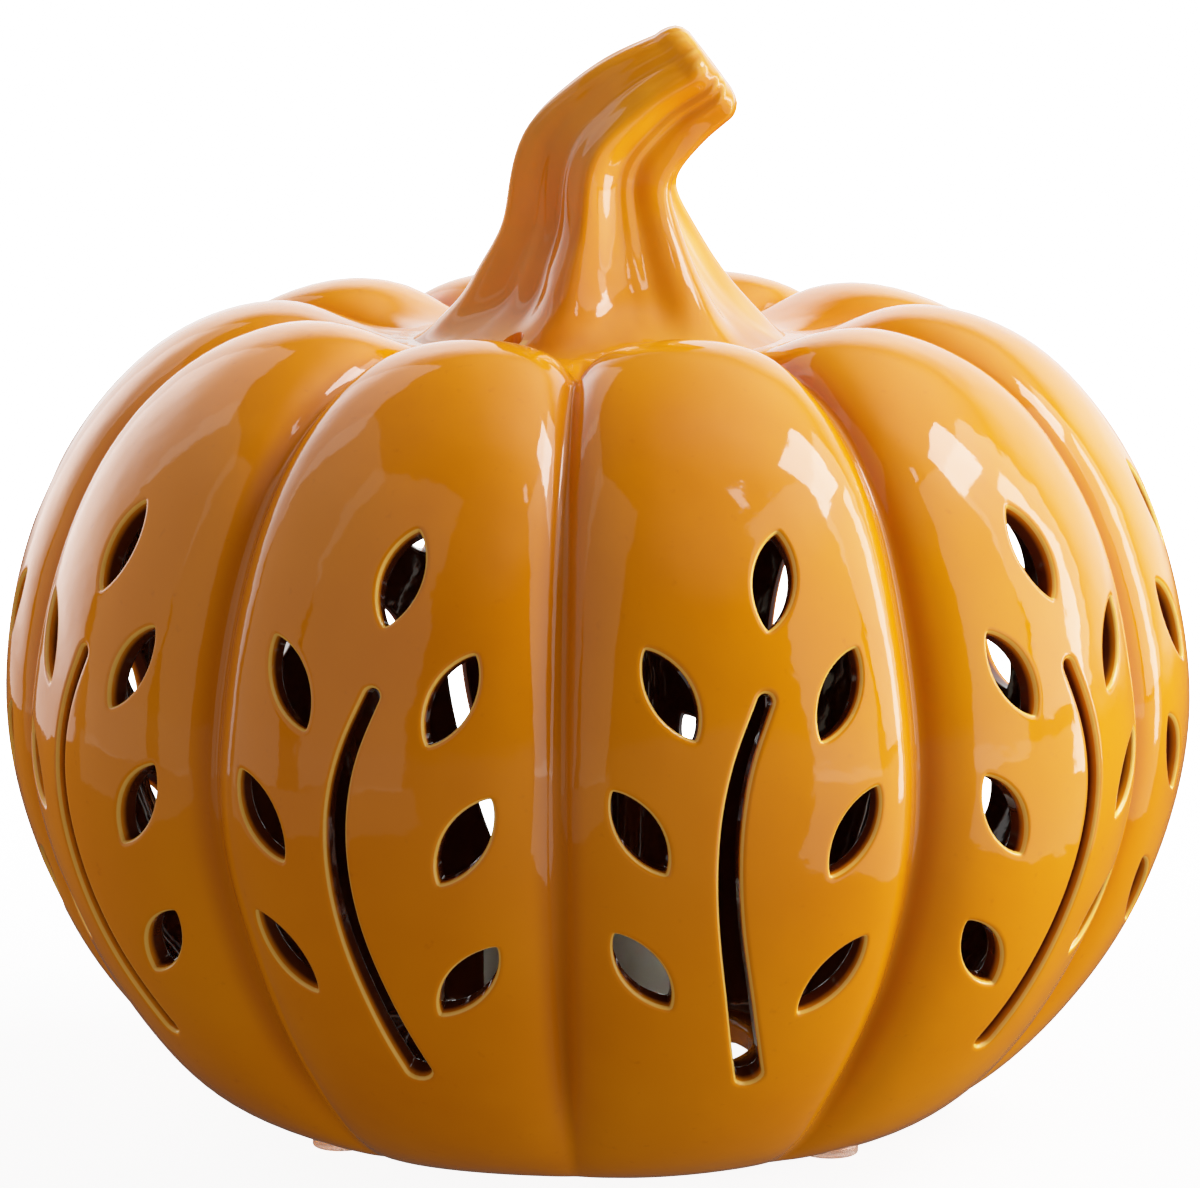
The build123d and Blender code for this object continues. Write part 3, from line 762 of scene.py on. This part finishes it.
def glaze_material(name, stem_part=False):
    """Glossy amber glaze. The cream on the stem's ridges and the cut-outs' rims is partly glaze breaking thin
    and partly painted highlight; the darker grooves and stem hollows are partly pooled glaze and partly painted
    shade, and the inside is painted shade.
    """
    material, nodes, links, bsdf = tree(name)
    at = position(nodes)
    if stem_part:
        squash = nodes.new("ShaderNodeMapping")
        squash.inputs["Scale"].default_value = (1.0, 1.0, 0.22)
        links.new(at, squash.inputs["Vector"])
        streak = noise(nodes, links, squash.outputs["Vector"], 80.0, 2.0, 0.45)
        colour = ramp(nodes, links, streak, STEM_STREAKS)
        # by how much the surface bulges: the hollows get partly pooled glaze and partly painted shade, the
        # ridges partly glaze break and partly painted highlight
        bulge = nodes.new("ShaderNodeNewGeometry").outputs["Pointiness"]
        colour = mix(nodes, links, level(nodes, links, bulge, 0.50, 0.42), colour, STEM_HOLLOW_POOL_AND_SHADE)
        colour = mix(nodes, links, level(nodes, links, bulge, 0.52, 0.58), colour, STEM_RIDGE_BREAK_AND_HIGHLIGHT)
    else:
        colour = ramp(nodes, links, noise(nodes, links, at, 22.0, 3.0, 0.55), GLAZE_CLOUDS)
        speck = level(nodes, links, noise(nodes, links, at, 420.0, 2.0), 0.66, 0.80, 0.0, 0.35)
        colour = mix(nodes, links, speck, colour, GLAZE_SPECK)
        # darker along the grooves: partly pooled glaze, partly painted shade
        groove = level(nodes, links, read(nodes, "dip"), 0.45, 1.0, 0.0, 0.5)
        colour = mix(nodes, links, groove, colour, GROOVE_POOL_AND_SHADE)
        # painted shade: the inner face, the deep walls of the cuts and the lips are painted near black, as the
        # unlit inside looks
        inside = level(nodes, links, read(nodes, "inside"), 0.1, 0.8)
        colour = mix(nodes, links, inside, colour, INSIDE_PAINTED_SHADE)
        # cream on the rounded rims: partly glaze break, partly painted highlight
        rim = level(nodes, links, read(nodes, "rim"), 0.3, 0.9, 0.0, 0.85)
        colour = mix(nodes, links, rim, colour, RIM_BREAK_AND_HIGHLIGHT)
    links.new(colour, bsdf.inputs["Base Color"])
    bsdf.inputs["Roughness"].default_value = GLAZE_ROUGHNESS
    bsdf.inputs["IOR"].default_value = GLAZE_IOR
    relief = bump(nodes, links, noise(nodes, links, at, 60.0, 2.0), 0.35, 0.0010, None)
    if stem_part:
        relief = bump(nodes, links, streak, 0.40, 0.0012, None, relief)
    bump(nodes, links, noise(nodes, links, at, 330.0, 2.0), 0.10, 0.0003, bsdf, relief)
    return material


def plain_material(name, low_colour, high_colour, roughness, scale, grain=0.15, sss=0.0, clear=0.0):
    """Rubber, wax or plastic, a little uneven in colour, gloss and relief."""
    material, nodes, links, bsdf = tree(name)
    at = position(nodes)
    cloud = noise(nodes, links, at, scale, 4.0, 0.6)
    links.new(ramp(nodes, links, cloud, [(0.3, low_colour), (0.7, high_colour)]), bsdf.inputs["Base Color"])
    fleck = noise(nodes, links, at, scale * 9, 3.0, 0.6)
    gloss = level(nodes, links, fleck, 0.3, 0.7, roughness * 0.85, min(1.0, roughness * 1.2))
    links.new(gloss, bsdf.inputs["Roughness"])
    bump(nodes, links, fleck, grain, 0.0002, bsdf)
    if sss:
        bsdf.inputs["Subsurface Weight"].default_value = sss
        bsdf.inputs["Subsurface Radius"].default_value = (0.004, 0.003, 0.002)
        bsdf.inputs["Subsurface Scale"].default_value = 0.6
    if clear:
        bsdf.inputs["Transmission Weight"].default_value = clear
        bsdf.inputs["IOR"].default_value = 1.45
    return material


def brushed_material(name, low_colour, high_colour, roughness):
    """Drawn or turned metal: streaks run one way."""
    material, nodes, links, bsdf = tree(name)
    stretch = nodes.new("ShaderNodeMapping")
    stretch.inputs["Scale"].default_value = (1.0, 0.08, 1.0)
    links.new(position(nodes), stretch.inputs["Vector"])
    streak = noise(nodes, links, stretch.outputs["Vector"], 2600.0, 4.0, 0.7)
    links.new(ramp(nodes, links, streak, [(0.3, low_colour), (0.7, high_colour)]), bsdf.inputs["Base Color"])
    gloss = level(nodes, links, streak, 0.3, 0.7, roughness * 0.8, roughness * 1.3)
    links.new(gloss, bsdf.inputs["Roughness"])
    bump(nodes, links, streak, 0.12, 0.00005, bsdf)
    bsdf.inputs["Metallic"].default_value = 1.0
    return material


# slot: (name, darkest and lightest colour, roughness, size of the unevenness, other settings)
PLAIN = {
    "pad_rubber": ("rubber_clear", (0.90, 0.89, 0.86), (0.96, 0.95, 0.93), 0.20, 300.0,
                   {"grain": 0.1, "clear": 0.85}),
    "candle_plastic": ("wax_frosted", (0.80, 0.75, 0.62), (0.86, 0.82, 0.70), 0.42, 60.0, {"sss": 0.35}),
    "flame_plastic": ("flame_amber", (0.86, 0.50, 0.14), (0.95, 0.72, 0.32), 0.25, 240.0, {"sss": 0.5}),
    "lamp_epoxy": ("lamp_epoxy_amber", (0.85, 0.52, 0.10), (0.92, 0.66, 0.20), 0.10, 300.0, {"grain": 0.05}),
    "board_laminate": ("laminate_green", (0.015, 0.09, 0.035), (0.03, 0.15, 0.06), 0.35, 500.0, {}),
    "chip_plastic": ("chip_black", (0.012, 0.012, 0.013), (0.03, 0.03, 0.032), 0.5, 900.0, {}),
    "base_plastic": ("base_white", (0.66, 0.64, 0.58), (0.74, 0.72, 0.66), 0.45, 150.0, {"grain": 0.3}),
    "switch_plastic": ("switch_black", (0.02, 0.02, 0.021), (0.045, 0.045, 0.046), 0.4, 700.0, {}),
}
MATERIALS = {label: plain_material(*row[:-1], **row[-1]) for label, row in PLAIN.items()}
MATERIALS["glaze"] = glaze_material("glaze_amber")
MATERIALS["steel"] = brushed_material("steel_zinc", (0.48, 0.48, 0.47), (0.66, 0.66, 0.65), 0.30)
MATERIALS["cell_steel"] = brushed_material("cell_nickel", (0.58, 0.58, 0.57), (0.74, 0.73, 0.71), 0.22)


def dress(obj, material):
    """Give a mesh its one material."""
    obj.data.materials.clear()
    obj.data.materials.append(material)


dress(shell, MATERIALS["glaze"])
dress(stem, glaze_material("glaze_stem", True))
for name, obj in NODES.items():
    if name in ("pumpkin_shell", "stem"):
        continue
    for slot in obj.material_slots:
        label = slot.material.name.split(".")[0] if slot.material else ""
        if label in MATERIALS:
            slot.material = MATERIALS[label]
        else:
            print("no material for", name, label)

# ------------------------------------------------------------------ stage
scene = bpy.context.scene

FLOOR_SIZE, FLOOR_Z = 12, -0.0002    # just under the feet
FLOOR_GLOW = (2.4, 8.0)    # in front of the part and behind it
BACKDROP = 8.0


def stage_plane():
    """A white table whose far part glows more, so that it runs into the white backdrop."""
    bpy.ops.mesh.primitive_plane_add(size=FLOOR_SIZE, location=(0, 0, FLOOR_Z))
    floor = bpy.context.object
    floor.name = "floor"
    material, nodes, links, bsdf = tree("floor_white")
    bsdf.inputs["Base Color"].default_value = (0.45, 0.45, 0.45, 1)
    bsdf.inputs["Roughness"].default_value = 0.6
    bsdf.inputs["Specular IOR Level"].default_value = 0.2
    bsdf.inputs["Emission Color"].default_value = (1, 1, 1, 1)
    split = nodes.new("ShaderNodeSeparateXYZ")
    links.new(position(nodes), split.inputs[0])
    glow = level(nodes, links, split.outputs["Y"], 0.02, 0.60, *FLOOR_GLOW)
    links.new(glow, bsdf.inputs["Emission Strength"])
    # seen from underneath the table is clear, so that it doesn't hide the base
    under = nodes.new("ShaderNodeMixShader")
    links.new(nodes.new("ShaderNodeNewGeometry").outputs["Backfacing"], under.inputs[0])
    links.new(bsdf.outputs[0], under.inputs[1])
    links.new(nodes.new("ShaderNodeBsdfTransparent").outputs[0], under.inputs[2])
    links.new(under.outputs[0], nodes["Material Output"].inputs["Surface"])
    floor.data.materials.append(material)
    floor.visible_glossy = floor.visible_diffuse = floor.visible_shadow = False


stage_plane()

VIEW_AZ = 3.46      # the camera's direction, degrees from -Y towards +X
CENTRE = Vector((0, 0, 0.075))


def toward(az, el, far):
    """A place so many degrees right of the camera and above level, seen from the middle of the part."""
    a, e = math.radians(az + VIEW_AZ), math.radians(el)
    return CENTRE + far * Vector((math.sin(a) * math.cos(e), -math.cos(a) * math.cos(e), math.sin(e)))


def softbox(name, az, el, far, width, height, watts, colour=(1, 1, 1)):
    """An area light that faces the part."""
    light = bpy.data.lights.new(name, "AREA")
    light.shape = "RECTANGLE"
    light.size, light.size_y = width, height
    light.energy = watts
    light.color = colour
    obj = bpy.data.objects.new(name, light)
    scene.collection.objects.link(obj)
    obj.location = toward(az, el, far)
    obj.rotation_euler = (CENTRE - obj.location).to_track_quat("-Z", "Y").to_euler()
    obj.visible_camera = False
    return obj


def angles_box(name, az0, az1, el0, el1, far, radiance, colour=(1, 1, 1)):
    """A softbox that fills these angles round the part, with this brightness."""
    width = 2 * far * math.tan(math.radians((az1 - az0) / 2)) * math.cos(math.radians((el0 + el1) / 2))
    height = 2 * far * math.tan(math.radians((el1 - el0) / 2))
    watts = radiance * math.pi * width * height
    return softbox(name, (az0 + az1) / 2, (el0 + el1) / 2, far, width, height, watts, colour)


# name, azimuths, elevations, distance, brightness, colour
SOFTBOXES = [
    ("right_near", 44, 78, -6, 50, 1.1, 1.7, (1.0, 0.96, 0.88)),
    ("right_far", 78, 114, -2, 48, 1.1, 3.8, (1.0, 0.97, 0.91)),
    ("right_low", 46, 112, -27, -4, 1.12, 1.2, (1.0, 0.92, 0.80)),
    ("right_block", 74, 101, 39, 56, 1.05, 14.0),
    ("right_strip", 97, 106, -12, 34, 1.06, 9.0),
    ("right_small", 39, 45, 51, 56, 1.06, 6.0),
    ("left_near", -68, -25, -9, 58, 1.2, 0.55, (1.0, 0.87, 0.64)),
    ("left_low", -111, -25, -21, -9, 1.2, 0.25, (1.0, 0.87, 0.64)),
    ("left_far", -111, -68, -9, 58, 1.2, 0.60, (1.0, 0.88, 0.68)),
    ("left_back", -154, -111, -9, 56, 1.2, 1.2, (1.0, 0.95, 0.93)),
]
for row in SOFTBOXES:
    angles_box(*row)

# fill that lights the glaze's colour and shows in no reflection: name, azimuth, elevation, distance, watts
FILL_SIZE = 0.5
for name, az, el, far, watts in (("fill_right", 92, 4, 1.15, 10.0), ("fill_top", 110, 52, 1.1, 12.5),
                                 ("fill_left", -135, 5, 1.2, 12.0)):
    softbox(name, az, el, far, FILL_SIZE, FILL_SIZE, watts).visible_glossy = False

world = bpy.data.worlds.new("studio")
scene.world = world
world.use_nodes = True
wn, wl = world.node_tree.nodes, world.node_tree.links
wn.clear()
out = wn.new("ShaderNodeOutputWorld")
seen = wn.new("ShaderNodeBackground")
seen.inputs["Color"].default_value = (1, 1, 1, 1)
seen.inputs["Strength"].default_value = BACKDROP
room = wn.new("ShaderNodeBackground")
room.inputs["Strength"].default_value = 1.0
direction = wn.new("ShaderNodeTexCoord")
split = wn.new("ShaderNodeSeparateXYZ")
wl.new(direction.outputs["Generated"], split.inputs[0])


def band(axis, *numbers):
    """Brightness by one coordinate of the direction."""
    return level(wn, wl, split.outputs[axis], *numbers)


def combine(operation, one, two):
    """Two values put together."""
    node = wn.new("ShaderNodeMath")
    node.operation = operation
    wl.new(one, node.inputs[0])
    wl.new(two, node.inputs[1])
    return node.outputs[0]


above = combine("MULTIPLY", band("X", -0.2, 0.45, 0.1, 1.5), band("Z", 0.50, 0.75, 0.0, 1.0))
above = combine("MULTIPLY", above, band("Y", -0.4, 0.0, 0.25, 1.0))
behind = combine("MULTIPLY", band("Y", 0.35, 0.75, 0.01, 2.3), band("Z", -0.12, 0.0, 0.0, 1.0))
behind = combine("MULTIPLY", behind, band("Z", 0.42, 0.70, 1.0, 0.0))
path = wn.new("ShaderNodeLightPath")
# the table's light is kept nearly out of the glaze's reflections
matt = wn.new("ShaderNodeMath")
matt.operation = "SUBTRACT"
matt.inputs[0].default_value = 1.1
wl.new(path.outputs["Is Glossy Ray"], matt.inputs[1])
# light off the table: strong from the open table, weak from straight under the part
table = combine("MULTIPLY", band("Z", -1.0, -0.05, 0.10, 0.70), band("X", -0.5, 0.8, 0.7, 2.2))
table = combine("MULTIPLY", band("Z", -0.02, 0.04, 1.0, 0.0), table)
table = combine("MULTIPLY", table, matt.outputs[0])
wl.new(combine("ADD", combine("MAXIMUM", above, behind), table), room.inputs["Color"])
choose = wn.new("ShaderNodeMixShader")
wl.new(path.outputs["Is Camera Ray"], choose.inputs[0])
wl.new(room.outputs[0], choose.inputs[1])
wl.new(seen.outputs[0], choose.inputs[2])
wl.new(choose.outputs[0], out.inputs["Surface"])

# ------------------------------------------------------------------ camera
camera = bpy.data.objects.new("camera", bpy.data.cameras.new("camera"))
scene.collection.objects.link(camera)
DISTANCE, ELEVATION = 1.0825, math.radians(14.185)    # from the middle of the rest plane
PITCH, YAW = math.radians(9.320), math.radians(0.044)    # how far it looks down and to the right
LENS, SENSOR = 180.06, 36
side = math.radians(VIEW_AZ)
level_out = DISTANCE * math.cos(ELEVATION)
camera.location = (level_out * math.sin(side), -level_out * math.cos(side), DISTANCE * math.sin(ELEVATION))
camera.rotation_euler = (math.pi / 2 - PITCH, 0, side - YAW)
camera.data.lens = LENS
camera.data.sensor_width = SENSOR
camera.data.clip_start = 0.05
scene.camera = camera


def film_curve(settings, reach=8.0, speed=1.08, points=24):
    """A soft shoulder, so that bright glaze turns golden and not flat yellow."""
    settings.view_transform = "Standard"
    settings.look = "None"
    settings.use_curve_mapping = True
    mapping = settings.curve_mapping
    mapping.white_level = (reach, reach, reach)
    curve = mapping.curves[3]
    stops = [(i / (points - 1)) ** 2.2 for i in range(points)]
    while len(curve.points) < points:
        curve.points.new(0.5, 0.5)
    for point, x in zip(curve.points, stops):
        point.location = (x, 1.0 if x == 1.0 else 1 - math.exp(-speed * reach * x))
    mapping.update()


film_curve(scene.view_settings)

bpy.context.view_layer.update()
